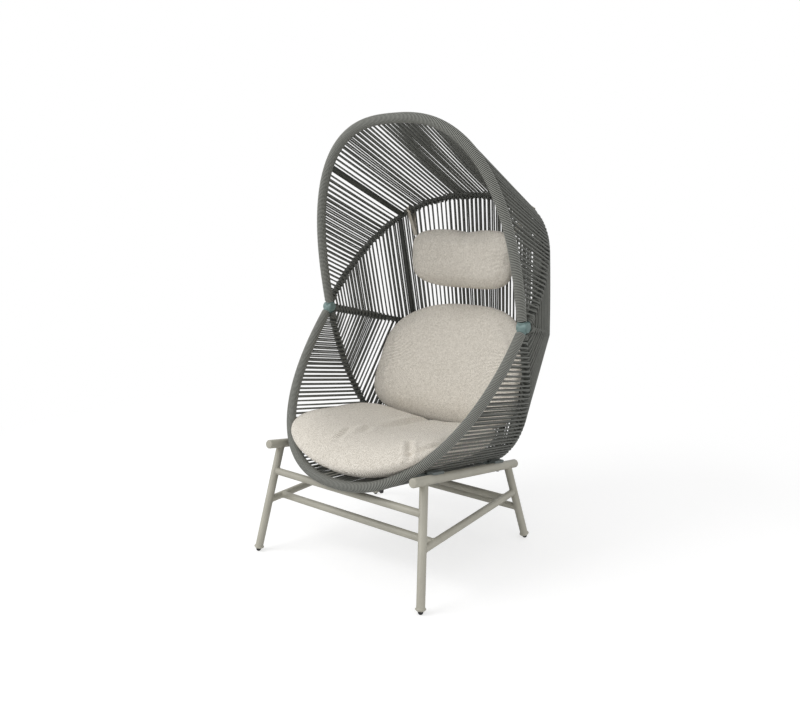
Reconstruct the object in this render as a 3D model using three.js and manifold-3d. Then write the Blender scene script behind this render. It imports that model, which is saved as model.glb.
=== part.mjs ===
// Pod chair: an open pod of rope-bound steel hoops with three loose cushions, on a four-legged tube base.
// Millimetres, +Z up, the front faces -Y. The origin is on the floor, in the middle of the footprint.
import * as THREE from 'three';
import { mergeVertices } from 'three/addons/utils/BufferGeometryUtils.js';
import Module from 'manifold-3d';

const wasm = await Module();
wasm.setup();

// Clearance between touching pieces, and how far a cutting body runs past what it cuts
const fit_gap = 0.3;
const overrun = 20;

// Pod: all hoops spring from two side knuckles on one axis, and each lies in a plane through that axis
const pod_half_width = 397;
const pod_reach = 630;
const pod_floor_height = 227.8;
const pivot_setback = 122.7;
const arch_inset = 10;
const front_hoop_inset = 6;
const mid_arch_outset = 4;
const seat_hoop_inset = 10;
const front_hoop_shortness = 11;
const mid_arch_shortness = 105;
const waist_shortness = 215;
const seat_hoop_shortness = 75;

// Hoop tubes: the two front ones are wound with rope all along, the three thin ones are covered by the cords
const front_core_radius = 11.5;
const winding_rope = 4.2;
const thin_hoop_radius = 15;
const rib_radius = 9;

// Cord panels
const cord_width = 5;
const cord_thickness = 4.5;
const selvage_width = 5;
const selvage_clearance = 0.6;
const knuckle_keep_off = 84;

// Knuckles
const knuckle_radius = 17;
const knuckle_half_length = 14;
const spigot_radius = 7.5;
const thin_hoop_start = 34;

// Base
const rail_radius = 14;
const rail_edge = 3;
const rail_front_overhang = 121;
const rail_rear_overhang = 118;
const leg_radius = 12.7;
const leg_splay = 44;
const leg_front_setoff = 65;
const leg_rear_setoff = 64;
const foot_front_y = -314.5;
const foot_rear_y = 303.5;
const crossbar_radius = 11.5;
const front_crossbar_drop = 33.8;
const stretcher_height = 172;
const lower_front_bar_y = -218;
const lower_rear_bar_y = 196;
const rear_crossbar_height = 114;

// Leg ends and levelling feet
const collar_radius = 16;
const collar_belt_height = 5.5;
const collar_height = 11;
const collar_mouth_radius = 10.5;
const foot_radius = 8;
const foot_flat_depth = 1;
const foot_rim = 2;
const screw_radius = 5;
const screw_clearance = 0.4;
const screw_length = 24;
const bore_depth = 30;

// Pod brackets on the rails
const bracket_front_setback = 60.5;
const bracket_rear_setback = 81.2;
const bracket_reach = 52.8;
const bracket_front_rise = 11.3;
const bracket_rear_rise = 16.5;
const bracket_length = 60;
const bracket_thickness = 12;
const bracket_boss_radius = 13.5;
const saddle_width = 24;
const saddle_height = 7;
const saddle_wrap = 6;
const saddle_inset = 6.5;
const bolt_radius = 3;
const bolt_clearance = 0.4;
const bolt_head_radius = 6;
const bolt_head_height = 1.6;
const bolt_reach = 5;

// Stud below the front hoop
const stud_offset = 156;
const stud_radius = 8;
const stud_tip_radius = 4;
const stud_height = 8;

// Seat cushion, lying in the bucket of the pod
const seat_side_room = 92;
const seat_front_room = 10.7;
const seat_rear_room = 49.2;
const seat_widest_setback = 229;
const seat_thickness = 120;
const seat_side_slimming = 8;
const seat_dish_ease = 10;
const seat_clearance = 16.4;
const seat_drop_front = 5;

// Back cushion, leaning on the pod's back
const back_side_room = 89;
const back_end_room = 22;
const back_rise = 116.7;
const back_stand_off = 82;
const back_thickness = 126;
const back_wrap_ease = 18;
const back_taper = 16;

// Head pillow and its straps
const pillow_drop = 227.7;
const pillow_stand_off = 62.5;
const pillow_half_width = 205;
const pillow_half_height = 107;
const pillow_thickness = 98;
const pillow_wrap = 56;
const pillow_dip = 12;
const pillow_dip_width = 110;
const strap_width = 14;
const strap_thickness = 2.4;

// Angles of the hoop planes from upright, towards the front, and of the leaning back cushion
const arch_lean = THREE.MathUtils.degToRad(12.1);
const front_hoop_lean = THREE.MathUtils.degToRad(137.6);
const mid_arch_lean = THREE.MathUtils.degToRad(-41.5);
const waist_lean = THREE.MathUtils.degToRad(-104.2);
const seat_hoop_lean = THREE.MathUtils.degToRad(-163.7);
const back_ease = THREE.MathUtils.degToRad(6);
const strap_corner = THREE.MathUtils.degToRad(30);

// Shares of a hoop's length from its left end: the ribs, and where a strap hangs on the mid arch
const canopy_rib_share = 0.305;
const back_rib_share = 0.295;
const seat_rib_share = 0.345;
const strap_share = 0.3265;

// Counts
const hoop_steps = 30;
const tube_sides = 8;
const base_sides = 12;
const side_cord_count = 13;
const centre_cord_count = 18;

// Finishes
function finish(color, roughness, metalness) {
  return () => new THREE.MeshStandardMaterial({ color, roughness, metalness });
}

const powder_coat = finish(0xb2afa2, 0.55, 0);
const rope = finish(0x5f605c, 0.85, 0);
const casting = finish(0x6f807d, 0.45, 0.3);
const dark_steel = finish(0x3b4241, 0.5, 0.4);
const black_plastic = finish(0x1b1b1c, 0.5, 0);
const zinc = finish(0x9b9d9c, 0.35, 0.9);
const upholstery = finish(0xc8c2b6, 0.95, 0);
const webbing = finish(0xbcb6a8, 0.9, 0);

const chair = new THREE.Group();

function add(name, geometry, material) {
  const mesh = new THREE.Mesh(geometry, material);
  mesh.name = name;
  chair.add(mesh);
}

const vec = (x, y, z) => new THREE.Vector3(x, y, z);
const mirrored = (p) => vec(-p.x, p.y, p.z);
const along = (from, to, share) => from.clone().lerp(to, share);

// Closed meshes to solids and back

function welded(geometry) {
  const plain = geometry.index ? geometry.toNonIndexed() : geometry.clone();
  plain.deleteAttribute('normal');
  plain.deleteAttribute('uv');
  return mergeVertices(plain);
}

function solid(geometry) {
  const merged = welded(geometry);
  return new wasm.Manifold(new wasm.Mesh({
    numProp: 3,
    vertProperties: new Float32Array(merged.attributes.position.array),
    triVerts: new Uint32Array(merged.index.array),
  }));
}

function surface(body) {
  const mesh = body.getMesh();
  const geometry = new THREE.BufferGeometry();
  geometry.setAttribute('position', new THREE.BufferAttribute(new Float32Array(mesh.vertProperties), 3));
  geometry.setIndex(new THREE.BufferAttribute(new Uint32Array(mesh.triVerts), 1));
  geometry.computeVertexNormals();
  return geometry;
}

// A turned body whose profile runs along the line from one point towards another

function turned(profile, from, to, sides) {
  const geometry = new THREE.LatheGeometry(profile.map(([r, h]) => new THREE.Vector2(r, h)), sides);
  const direction = to.clone().sub(from).normalize();
  const turn = new THREE.Quaternion().setFromUnitVectors(vec(0, 1, 0), direction);
  return geometry.applyMatrix4(new THREE.Matrix4().compose(from, turn, vec(1, 1, 1)));
}

function rod(from, to, radius, sides = base_sides, edge = 0) {
  const length = from.distanceTo(to);
  const profile = [[0, 0], [radius - edge, 0]];
  if (edge > 0) profile.push([radius, edge], [radius, length - edge]);
  profile.push([radius - edge, length], [0, length]);
  return turned(profile, from, to, sides);
}

// The same line, lengthened at both ends, as the body that cuts a neighbour's end to a saddle
function cutter(line, radius, sides = base_sides) {
  const step = line[1].clone().sub(line[0]).setLength(overrun);
  const cut_radius = (radius + fit_gap) / Math.cos(Math.PI / sides);
  return solid(rod(line[0].clone().sub(step), line[1].clone().add(step), cut_radius, sides));
}

// A hoop's tube grown by the fit gap, as the body that cuts whatever meets it
function grown(hoop) {
  const radius = hoop.tube_radius + fit_gap / Math.cos(Math.PI / tube_sides);
  return solid(swept(hoop.part(hoop.start_length), radius));
}

function coped(geometry, cutters) {
  return surface(cutters.reduce((body, tool) => body.subtract(tool), solid(geometry)));
}

// The pod's pivot stands as high above its floor as the seat hoop reaches down
const pivot_height = pod_floor_height - (pod_reach - seat_hoop_shortness) * Math.cos(seat_hoop_lean);

// Hoops: half of a superellipse between the knuckles, told by the share of its length from the left end

class Hoop extends THREE.Curve {
  constructor(lean, half_width, reach, squareness, from_share = 0, to_share = 1) {
    super();
    Object.assign(this, { lean, half_width, reach, squareness, from_share, to_share });
    this.arcLengthDivisions = 400;
    this.table = this.buildTable(600);
  }

  raw(angle) {
    const power = 2 / this.squareness;
    const across = -this.half_width * Math.sign(Math.cos(angle)) * Math.abs(Math.cos(angle)) ** power;
    const out = this.reach * Math.abs(Math.sin(angle)) ** power;
    return vec(across, pivot_setback - out * Math.sin(this.lean), pivot_height + out * Math.cos(this.lean));
  }

  buildTable(count) {
    const points = [];
    const lengths = [];
    let total = 0;
    for (let i = 0; i <= count; i += 1) {
      points.push(this.raw((Math.PI * i) / count));
      if (i > 0) total += points[i].distanceTo(points[i - 1]);
      lengths.push(total);
    }
    return { points, lengths, total };
  }

  at(share) {
    const { points, lengths, total } = this.table;
    const wanted = share * total;
    let i = 1;
    while (i < lengths.length - 1 && lengths[i] < wanted) i += 1;
    return along(points[i - 1], points[i], (wanted - lengths[i - 1]) / (lengths[i] - lengths[i - 1]));
  }

  heading(share) {
    const small_share = 0.004;
    const before = this.at(Math.max(share - small_share, 0));
    return this.at(Math.min(share + small_share, 1)).sub(before).normalize();
  }

  share(length) {
    return length / this.table.total;
  }

  getPoint(t) {
    return this.at(this.from_share + (this.to_share - this.from_share) * t);
  }

  part(start_length) {
    const start = this.share(start_length);
    return new Hoop(this.lean, this.half_width, this.reach, this.squareness, start, 1 - start);
  }
}

function ring(radius, sides = tube_sides) {
  const points = [];
  for (let i = 0; i < sides; i += 1) {
    const angle = (2 * Math.PI * (i + 0.5)) / sides;
    points.push(new THREE.Vector2(radius * Math.cos(angle), radius * Math.sin(angle)));
  }
  return points;
}

function swept(path, outer_radius, bore_radius = 0) {
  const section = new THREE.Shape(ring(outer_radius));
  if (bore_radius > 0) section.holes.push(new THREE.Path(ring(bore_radius)));
  const options = { steps: hoop_steps, bevelEnabled: false, extrudePath: path };
  return welded(new THREE.ExtrudeGeometry(section, options));
}

const front_hoop_half_width = pod_half_width - front_hoop_inset;
const mid_arch_half_width = pod_half_width + mid_arch_outset;
const seat_hoop_half_width = pod_half_width - seat_hoop_inset;
const arch = new Hoop(arch_lean, pod_half_width - arch_inset, pod_reach, 2.58);
const front_hoop = new Hoop(front_hoop_lean, front_hoop_half_width, pod_reach - front_hoop_shortness, 2.29);
const mid_arch = new Hoop(mid_arch_lean, mid_arch_half_width, pod_reach - mid_arch_shortness, 2.45);
const waist = new Hoop(waist_lean, pod_half_width, pod_reach - waist_shortness, 2.44);
const seat_hoop = new Hoop(seat_hoop_lean, seat_hoop_half_width, pod_reach - seat_hoop_shortness, 2.65);

const front_tube_radius = front_core_radius + winding_rope;
const front_tube_start = knuckle_radius + 2 * fit_gap;

for (const [name, hoop] of [['arch', arch], ['front_hoop', front_hoop]]) {
  hoop.tube_radius = front_tube_radius;
  hoop.start_length = front_tube_start;
  const path = hoop.part(front_tube_start);
  add(`${name}_core`, swept(path, front_core_radius), dark_steel());
  add(`${name}_winding`, swept(path, front_tube_radius, front_core_radius + fit_gap), rope());
}
for (const [name, hoop] of [['mid_arch', mid_arch], ['waist_hoop', waist], ['seat_hoop', seat_hoop]]) {
  hoop.tube_radius = thin_hoop_radius;
  hoop.start_length = thin_hoop_start;
  add(name, swept(hoop.part(thin_hoop_start), thin_hoop_radius), rope());
}

// Side knuckles: a hub across the pivot axis, with a spigot into each thin hoop

for (const [side, end] of [['left', 0], ['right', 1]]) {
  const outward = end ? 1 : -1;
  const centre = vec(outward * pod_half_width, pivot_setback, pivot_height);
  const hub_ends = [centre.clone(), centre.clone()];
  hub_ends[0].x -= knuckle_half_length;
  hub_ends[1].x += knuckle_half_length;
  let body = solid(rod(hub_ends[0], hub_ends[1], knuckle_radius, base_sides, rail_edge));
  for (const hoop of [mid_arch, waist, seat_hoop]) {
    const tip = hoop.at(Math.abs(end - hoop.share(thin_hoop_start - fit_gap)));
    const root = vec(tip.x, centre.y, centre.z);
    body = body.add(solid(rod(root, tip, spigot_radius, tube_sides)));
  }
  add(`${side}_knuckle`, surface(body), casting());
}

// Bays between two hoops: where a straight cord or rib leaves one hoop and meets the next

const bays = [
  { name: 'canopy', from: arch, to: mid_arch, rib_share: canopy_rib_share },
  { name: 'upper_back', from: mid_arch, to: waist, rib_share: back_rib_share },
  { name: 'lower_back', from: waist, to: seat_hoop, rib_share: back_rib_share },
  { name: 'seat', from: seat_hoop, to: front_hoop, rib_share: seat_rib_share },
];

function span(bay, share, clearance) {
  const start = bay.from.at(share);
  const end = bay.to.at(share);
  const direction = end.clone().sub(start).normalize();
  const from_heading = bay.from.heading(share);
  const to_heading = bay.to.heading(share);
  const leave = (bay.from.tube_radius + clearance) / direction.clone().cross(from_heading).length();
  const meet = (bay.to.tube_radius + clearance) / direction.clone().cross(to_heading).length();
  start.addScaledVector(direction, leave);
  end.addScaledVector(direction, -meet);
  return { start, end, direction, heading: from_heading.add(to_heading).normalize() };
}

// A cord panel: straight cords between two selvages, each selvage lying along its hoop

function panel(bay, from_share, to_share, count) {
  const positions = [];
  const faces = [];
  const point = (p) => positions.push(p.x, p.y, p.z) / 3 - 1;
  const both = (p, normal) => ({
    front: point(p.clone().addScaledVector(normal, cord_thickness / 2)),
    back: point(p.clone().addScaledVector(normal, -cord_thickness / 2)),
  });
  const skin = (...corners) => {
    for (let i = 1; i < corners.length - 1; i += 1) {
      faces.push(corners[0].front, corners[i].front, corners[i + 1].front);
      faces.push(corners[0].back, corners[i + 1].back, corners[i].back);
    }
  };
  const wall = (p, q) => {
    faces.push(q.front, p.front, p.back, q.front, p.back, q.back);
  };
  const cords = [];
  for (let i = 0; i < count; i += 1) {
    const share = from_share + ((to_share - from_share) * i) / (count - 1);
    const { start, end, direction, heading } = span(bay, share, selvage_clearance);
    const normal = heading.clone().cross(direction).normalize();
    const across = direction.clone().cross(normal).multiplyScalar(cord_width / 2);
    const near = start.clone().addScaledVector(direction, selvage_width);
    const far = end.clone().addScaledVector(direction, -selvage_width);
    cords.push({
      start: both(start, normal),
      near_left: both(near.clone().sub(across), normal),
      near_right: both(near.clone().add(across), normal),
      far_left: both(far.clone().sub(across), normal),
      far_right: both(far.clone().add(across), normal),
      end: both(end, normal),
    });
  }
  cords.forEach((cord, i) => {
    skin(cord.start, cord.near_right, cord.near_left);
    skin(cord.near_left, cord.near_right, cord.far_right, cord.far_left);
    skin(cord.far_left, cord.far_right, cord.end);
    wall(cord.near_right, cord.far_right);
    wall(cord.far_left, cord.near_left);
    const next = cords[i + 1];
    if (!next) return;
    skin(cord.start, next.start, next.near_left, cord.near_right);
    skin(cord.far_right, next.far_left, next.end, cord.end);
    wall(cord.start, next.start);
    wall(next.near_left, cord.near_right);
    wall(cord.far_right, next.far_left);
    wall(next.end, cord.end);
  });
  const first = cords[0];
  const last = cords[count - 1];
  wall(first.near_left, first.start);
  wall(first.end, first.far_left);
  wall(last.start, last.near_right);
  wall(last.far_right, last.end);
  const geometry = new THREE.BufferGeometry();
  geometry.setAttribute('position', new THREE.Float32BufferAttribute(positions, 3));
  geometry.setIndex(faces);
  geometry.computeVertexNormals();
  return geometry;
}

for (const bay of bays) {
  const length = Math.min(bay.from.table.total, bay.to.table.total);
  const keep_off_share = knuckle_keep_off / length;
  const rib_room_share = (rib_radius + cord_width + selvage_width) / length;
  const stops = [keep_off_share, bay.rib_share - rib_room_share, bay.rib_share + rib_room_share];
  add(`${bay.name}_cords_left`, panel(bay, stops[0], stops[1], side_cord_count), rope());
  add(`${bay.name}_cords_middle`, panel(bay, stops[2], 1 - stops[2], centre_cord_count), rope());
  add(`${bay.name}_cords_right`, panel(bay, 1 - stops[1], 1 - stops[0], side_cord_count), rope());
}

// Ribs between the hoops, left and right. The seat's ribs stand on the brackets.

const ribs = {};
for (const bay of bays) {
  for (const [side, share] of [['left', bay.rib_share], ['right', 1 - bay.rib_share]]) {
    const line = [bay.from.at(share), bay.to.at(share)];
    ribs[`${bay.name}_${side}`] = line;
    const rib = rod(line[0], line[1], rib_radius, tube_sides);
    add(`${bay.name}_rib_${side}`, coped(rib, [grown(bay.from), grown(bay.to)]), dark_steel());
  }
}

// Base: lines of the tubes. The rails run beside the seat's ribs, which stand on them by the brackets.

function at_depth(line, y) {
  return along(line[0], line[1], (y - line[0].y) / (line[1].y - line[0].y));
}

const bracket_front_y = ribs.seat_right[1].y + bracket_front_setback;
const bracket_rear_y = ribs.seat_right[0].y - bracket_rear_setback;
const front_seat = at_depth(ribs.seat_right, bracket_front_y);
const rear_seat = at_depth(ribs.seat_right, bracket_rear_y);
const rail_half_gauge = front_seat.x + bracket_reach;
const foot_half_gauge = rail_half_gauge + leg_splay;
const rail_seats = [
  vec(rail_half_gauge, bracket_front_y, front_seat.z - bracket_front_rise),
  vec(rail_half_gauge, bracket_rear_y, rear_seat.z - bracket_rear_rise),
];

function rail_point(side, y) {
  const point = at_depth(rail_seats, y);
  return vec(side * point.x, y, point.z);
}

function leg_line(side, foot_y, top_y) {
  return [vec(side * foot_half_gauge, foot_y, foot_radius - foot_flat_depth), rail_point(side, top_y)];
}

function at_height(line, height) {
  return along(line[0], line[1], (height - line[0].z) / (line[1].z - line[0].z));
}

const sides = { left: -1, right: 1 };
const rails = {};
const legs = {};
const stretchers = {};
for (const [name, side] of Object.entries(sides)) {
  rails[name] = [
    rail_point(side, bracket_front_y - rail_front_overhang),
    rail_point(side, bracket_rear_y + rail_rear_overhang),
  ];
  legs[`front_${name}`] = leg_line(side, foot_front_y, bracket_front_y - leg_front_setoff);
  legs[`rear_${name}`] = leg_line(side, foot_rear_y, bracket_rear_y + leg_rear_setoff);
  stretchers[name] = [
    at_height(legs[`front_${name}`], stretcher_height),
    at_height(legs[`rear_${name}`], stretcher_height),
  ];
}

const front_crossbar_height = front_hoop.at(0.5).z - front_crossbar_drop;

function bar(left_end) {
  return [left_end, mirrored(left_end)];
}

const crossbars = {
  front_crossbar: bar(at_height(legs.front_left, front_crossbar_height)),
  rear_crossbar: bar(at_height(legs.rear_left, rear_crossbar_height)),
  lower_front_bar: bar(at_depth(stretchers.left, lower_front_bar_y)),
  lower_rear_bar: bar(at_depth(stretchers.left, lower_rear_bar_y)),
};

// Brackets: a saddle on the rail, an arm inward and a boss round the seat rib, bolted up through the rail

const bolt_hole_radius = (bolt_radius + bolt_clearance) / Math.cos(Math.PI / tube_sides);

function bracket_frame(name, y) {
  const [rail_start, rail_end] = rails[name];
  const foot = at_depth(rails[name], y);
  const ahead = rail_end.clone().sub(rail_start).normalize();
  const across = vec(1, 0, 0);
  const up = across.clone().cross(ahead).normalize();
  return { foot, ahead, across, up };
}

function block(middle, across, ahead, width, length, height) {
  const geometry = new THREE.BoxGeometry(width, length, height);
  const frame = new THREE.Matrix4().makeBasis(across, ahead, across.clone().cross(ahead).normalize());
  frame.setPosition(middle);
  return solid(geometry.applyMatrix4(frame));
}

function bracket(name, y) {
  const { foot, ahead, across, up } = bracket_frame(name, y);
  const inward = across.clone().multiplyScalar(foot.x < 0 ? 1 : -1);
  const rib = ribs[`seat_${name}`];
  const head = at_depth(rib, y);
  const half = rib[1].clone().sub(rib[0]).setLength(bracket_length / 2);
  const saddle_middle = foot.clone().addScaledVector(inward, saddle_inset);
  saddle_middle.addScaledVector(up, rail_radius + (saddle_height - saddle_wrap) / 2);
  const reach = head.clone().sub(foot);
  const arm_across = reach.clone().addScaledVector(ahead, -reach.dot(ahead));
  const arm_length = arm_across.length();
  const arm_middle = foot.clone().addScaledVector(arm_across, 0.5);
  const body = block(saddle_middle, across, ahead, saddle_width, bracket_length, saddle_height + saddle_wrap)
    .add(block(arm_middle, arm_across.normalize(), ahead, arm_length, bracket_length, bracket_thickness))
    .add(solid(rod(head.clone().sub(half), head.clone().add(half), bracket_boss_radius)));
  const hole_end = foot.clone().addScaledVector(up, rail_radius + bolt_reach + fit_gap);
  const tools = [cutter(rails[name], rail_radius), cutter(rib, rib_radius, tube_sides)];
  tools.push(solid(rod(foot, hole_end, bolt_hole_radius, tube_sides)));
  return surface(tools.reduce((rest, tool) => rest.subtract(tool), body));
}

function bracket_bolt(name, y) {
  const { foot, up } = bracket_frame(name, y);
  const seat = foot.clone().addScaledVector(up, -rail_radius - fit_gap);
  const shank = 2 * rail_radius + fit_gap + bolt_reach;
  const profile = [
    [0, -bolt_head_height], [bolt_head_radius / 2, -bolt_head_height], [bolt_head_radius, 0],
    [bolt_radius, 0], [bolt_radius, shank], [0, shank],
  ];
  return turned(profile, seat, foot, tube_sides);
}

const bracket_places = [];
for (const name of Object.keys(sides)) {
  bracket_places.push({ label: `front_${name}`, name, y: bracket_front_y });
  bracket_places.push({ label: `rear_${name}`, name, y: bracket_rear_y });
}

for (const [name, line] of Object.entries(rails)) {
  const holes = bracket_places.filter((place) => place.name === name).map((place) => {
    const { foot, up } = bracket_frame(name, place.y);
    const reach = rail_radius + overrun / 2;
    const ends = [foot.clone().addScaledVector(up, -reach), foot.clone().addScaledVector(up, reach)];
    return solid(rod(ends[0], ends[1], bolt_hole_radius, tube_sides));
  });
  add(`${name}_rail`, coped(rod(line[0], line[1], rail_radius, base_sides, rail_edge), holes), powder_coat());
}

for (const { label, name, y } of bracket_places) {
  add(`${label}_bracket`, bracket(name, y), casting());
  add(`${label}_bracket_bolt`, bracket_bolt(name, y), zinc());
}

// Legs with their flared collars, cut to the rails, and the levelling feet below them

const ground = new THREE.BoxGeometry(4 * foot_half_gauge, 4 * foot_rear_y, overrun);
ground.translate(0, 0, -overrun / 2);
const below_ground = solid(ground);

for (const [name, line] of Object.entries(legs)) {
  const [foot, top] = line;
  const mouth = foot.clone().addScaledVector(top.clone().sub(foot).normalize(), foot_rim + fit_gap);
  const bore_radius = screw_radius + screw_clearance;
  const length = mouth.distanceTo(top);
  const profile = [
    [0, bore_depth], [bore_radius, bore_depth], [bore_radius, 0], [collar_mouth_radius, 0],
    [collar_radius, collar_belt_height], [leg_radius, collar_height], [leg_radius, length], [0, length],
  ];
  const rail = rails[name.split('_')[1]];
  const leg = turned(profile, mouth, top, base_sides);
  add(`${name}_leg`, coped(leg, [cutter(rail, rail_radius)]), powder_coat());
  const dome = [];
  const dome_steps = 4;
  for (let i = 0; i <= dome_steps; i += 1) {
    const angle = (Math.PI / 2) * (i / dome_steps);
    dome.push([foot_radius * Math.sin(angle), -foot_radius * Math.cos(angle)]);
  }
  dome.push([foot_radius, foot_rim], [screw_radius, foot_rim], [screw_radius, foot_rim + screw_length]);
  dome.push([0, foot_rim + screw_length]);
  add(`${name}_foot`, coped(turned(dome, foot, top, base_sides), [below_ground]), black_plastic());
}

for (const [name, line] of Object.entries(stretchers)) {
  const ends = [cutter(legs[`front_${name}`], leg_radius), cutter(legs[`rear_${name}`], leg_radius)];
  add(`${name}_stretcher`, coped(rod(line[0], line[1], crossbar_radius), ends), powder_coat());
}

const crossbar_ends = {
  front_crossbar: [[legs.front_left, leg_radius], [legs.front_right, leg_radius]],
  rear_crossbar: [[legs.rear_left, leg_radius], [legs.rear_right, leg_radius]],
  lower_front_bar: [[stretchers.left, crossbar_radius], [stretchers.right, crossbar_radius]],
  lower_rear_bar: [[stretchers.left, crossbar_radius], [stretchers.right, crossbar_radius]],
};
for (const [name, line] of Object.entries(crossbars)) {
  const tools = crossbar_ends[name].map(([neighbour, radius]) => cutter(neighbour, radius));
  add(name, coped(rod(line[0], line[1], crossbar_radius), tools), powder_coat());
}

// Stud under the front hoop, beside its lowest point

const stud_share = 0.5 + stud_offset / front_hoop.table.total;
const stud_heading = front_hoop.heading(stud_share);
const stud_down = vec(0, 0, -1).addScaledVector(stud_heading, stud_heading.z).normalize();
const stud_root = front_hoop.at(stud_share).addScaledVector(stud_down, front_core_radius);
const stud_tip = winding_rope + stud_height;
const stud_profile = [
  [0, 0], [stud_radius, 0], [stud_radius, winding_rope], [stud_tip_radius, stud_tip], [0, stud_tip],
];
const stud = turned(stud_profile, stud_root, stud_root.clone().add(stud_down), tube_sides);
add('hoop_stud', coped(stud, [grown(front_hoop)]), black_plastic());

// Cushions: crowned closed forms with a rounded rim drawn in from the crown

function cushion(outline, middle, normal_at, half_thickness, around = 30) {
  const rings = [0.3, 0.55, 0.76, 0.9, 0.975, 1];
  const positions = [];
  const faces = [];
  const point = (angle, reach_share, side) => {
    const [u, v] = outline(angle);
    const p = middle(u * reach_share, v * reach_share);
    const swell = Math.sqrt(Math.max(0, 1 - reach_share ** 3));
    p.addScaledVector(normal_at, side * swell * half_thickness(u * reach_share, v * reach_share));
    return positions.push(p.x, p.y, p.z) / 3 - 1;
  };
  const rim = [];
  for (let k = 0; k < around; k += 1) rim.push(point((2 * Math.PI * k) / around, 1, 1));
  for (const side of [1, -1]) {
    const crown = point(0, 0, side);
    const triangle = (a, b, c) => (side > 0 ? faces.push(a, b, c) : faces.push(a, c, b));
    let inner = null;
    for (const reach_share of rings) {
      const loop = [];
      for (let k = 0; k < around; k += 1) {
        loop.push(reach_share === 1 ? rim[k] : point((2 * Math.PI * k) / around, reach_share, side));
      }
      for (let k = 0; k < around; k += 1) {
        const next = (k + 1) % around;
        if (!inner) {
          triangle(crown, loop[k], loop[next]);
        } else {
          triangle(inner[k], loop[k], loop[next]);
          triangle(inner[k], loop[next], inner[next]);
        }
      }
      inner = loop;
    }
  }
  const geometry = new THREE.BufferGeometry();
  geometry.setAttribute('position', new THREE.Float32BufferAttribute(positions, 3));
  geometry.setIndex(faces);
  geometry.computeVertexNormals();
  return geometry;
}

function superellipse(half_width, back_reach, front_reach, back_power, front_power) {
  return (angle) => {
    const power = Math.sin(angle) > 0 ? back_power : front_power;
    const reach = Math.sin(angle) > 0 ? back_reach : front_reach;
    const share = (value) => Math.sign(value) * Math.abs(value) ** (2 / power);
    return [half_width * share(Math.cos(angle)), reach * share(Math.sin(angle))];
  };
}

// The pod's middle line, from hoop to hoop, which the cushions lie along

const floor_front = front_hoop.at(0.5);
const floor_rear = seat_hoop.at(0.5);
const waist_back = waist.at(0.5);
const crown_back = mid_arch.at(0.5);

// Back cushion's frame: it leans a little less than the pod's lower back, and its middle stands off from it

const back_slope = waist_back.clone().sub(floor_rear);
const back_tilt = Math.atan2(back_slope.y, back_slope.z) - back_ease;
const back_up = vec(0, Math.sin(back_tilt), Math.cos(back_tilt));
const back_front = vec(0, -Math.cos(back_tilt), Math.sin(back_tilt));
const back_half_width = pod_half_width - back_side_room;
const back_half_height = back_slope.length() / 2 - back_end_room;
const back_centre = at_height([floor_rear, waist_back], along(floor_rear, waist_back, 0.5).z + back_rise);
const back_ribs = at_height(ribs.lower_back_right, back_centre.z);
const back_ribs_wrap = back_centre.y - back_ribs.y - back_wrap_ease;
back_centre.y -= back_stand_off;

// Seat cushion: follows the bucket's floor, its sides lifted and slimmed where the bucket rises

const seat_half_width = pod_half_width - seat_side_room;
const seat_front_y = floor_front.y + seat_front_room;
const seat_rear_y = back_centre.y - back_half_height * Math.sin(back_tilt) - seat_rear_room;
const seat_widest_y = seat_front_y + seat_widest_setback;
const seat_ribs = along(ribs.seat_right[0], ribs.seat_right[1], 0.5);
const seat_ribs_rise = seat_ribs.z - along(floor_front, floor_rear, 0.5).z;
const seat_middle = (u, v) => {
  const y = seat_widest_y + v;
  const floor = at_depth([floor_front, floor_rear], y).z;
  const sides_up = (seat_ribs_rise - seat_dish_ease) * Math.abs(u / seat_ribs.x) ** 1.9;
  const front_down = seat_drop_front * Math.max(0, -v / seat_widest_setback) ** 3;
  return vec(u, y, floor + seat_clearance + seat_thickness / 2 + sides_up - front_down);
};
const seat_half_thickness = (u) => seat_thickness / 2 - seat_side_slimming * (u / seat_half_width) ** 2;
const seat_behind_widest = seat_rear_y - seat_widest_y;
const seat_outline = superellipse(seat_half_width, seat_behind_widest, seat_widest_setback, 2.8, 2.6);
add('seat_cushion', cushion(seat_outline, seat_middle, vec(0, 0, 1), seat_half_thickness), upholstery());

// Back cushion: its sides wrap forward with the round pod

const back_middle = (u, v) => {
  const x = u - (back_taper * (u / back_half_width) * v) / back_half_height;
  const p = vec(x, back_centre.y, back_centre.z).addScaledVector(back_up, v);
  return p.addScaledVector(back_front, back_ribs_wrap * (u / back_ribs.x) ** 2);
};
const back_outline = superellipse(back_half_width, back_half_height, back_half_height, 2.4, 3.8);
add('back_cushion', cushion(back_outline, back_middle, back_front, () => back_thickness / 2), upholstery());

// Head pillow: plump, with a dip in its top edge, curved to the round back

const pillow_centre = at_height([waist_back, crown_back], crown_back.z - pillow_drop);
pillow_centre.y -= pillow_stand_off;
const pillow_middle = (u, v) => {
  const dip = pillow_dip * Math.max(0, v / pillow_half_height) * Math.exp(-((u / pillow_dip_width) ** 2));
  const forward = pillow_wrap * (u / pillow_half_width) ** 2;
  return vec(u, pillow_centre.y - forward, pillow_centre.z + v - dip);
};

function pillow_outline(extra) {
  const height = pillow_half_height + extra;
  return superellipse(pillow_half_width + extra, height, height, 4.4, 3.2);
}

function pillow(extra) {
  return cushion(pillow_outline(extra), pillow_middle, vec(0, -1, 0), () => pillow_thickness / 2 + extra);
}

add('head_pillow', pillow(0), upholstery());

// Straps from the mid arch down to the pillow's upper corners

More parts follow.
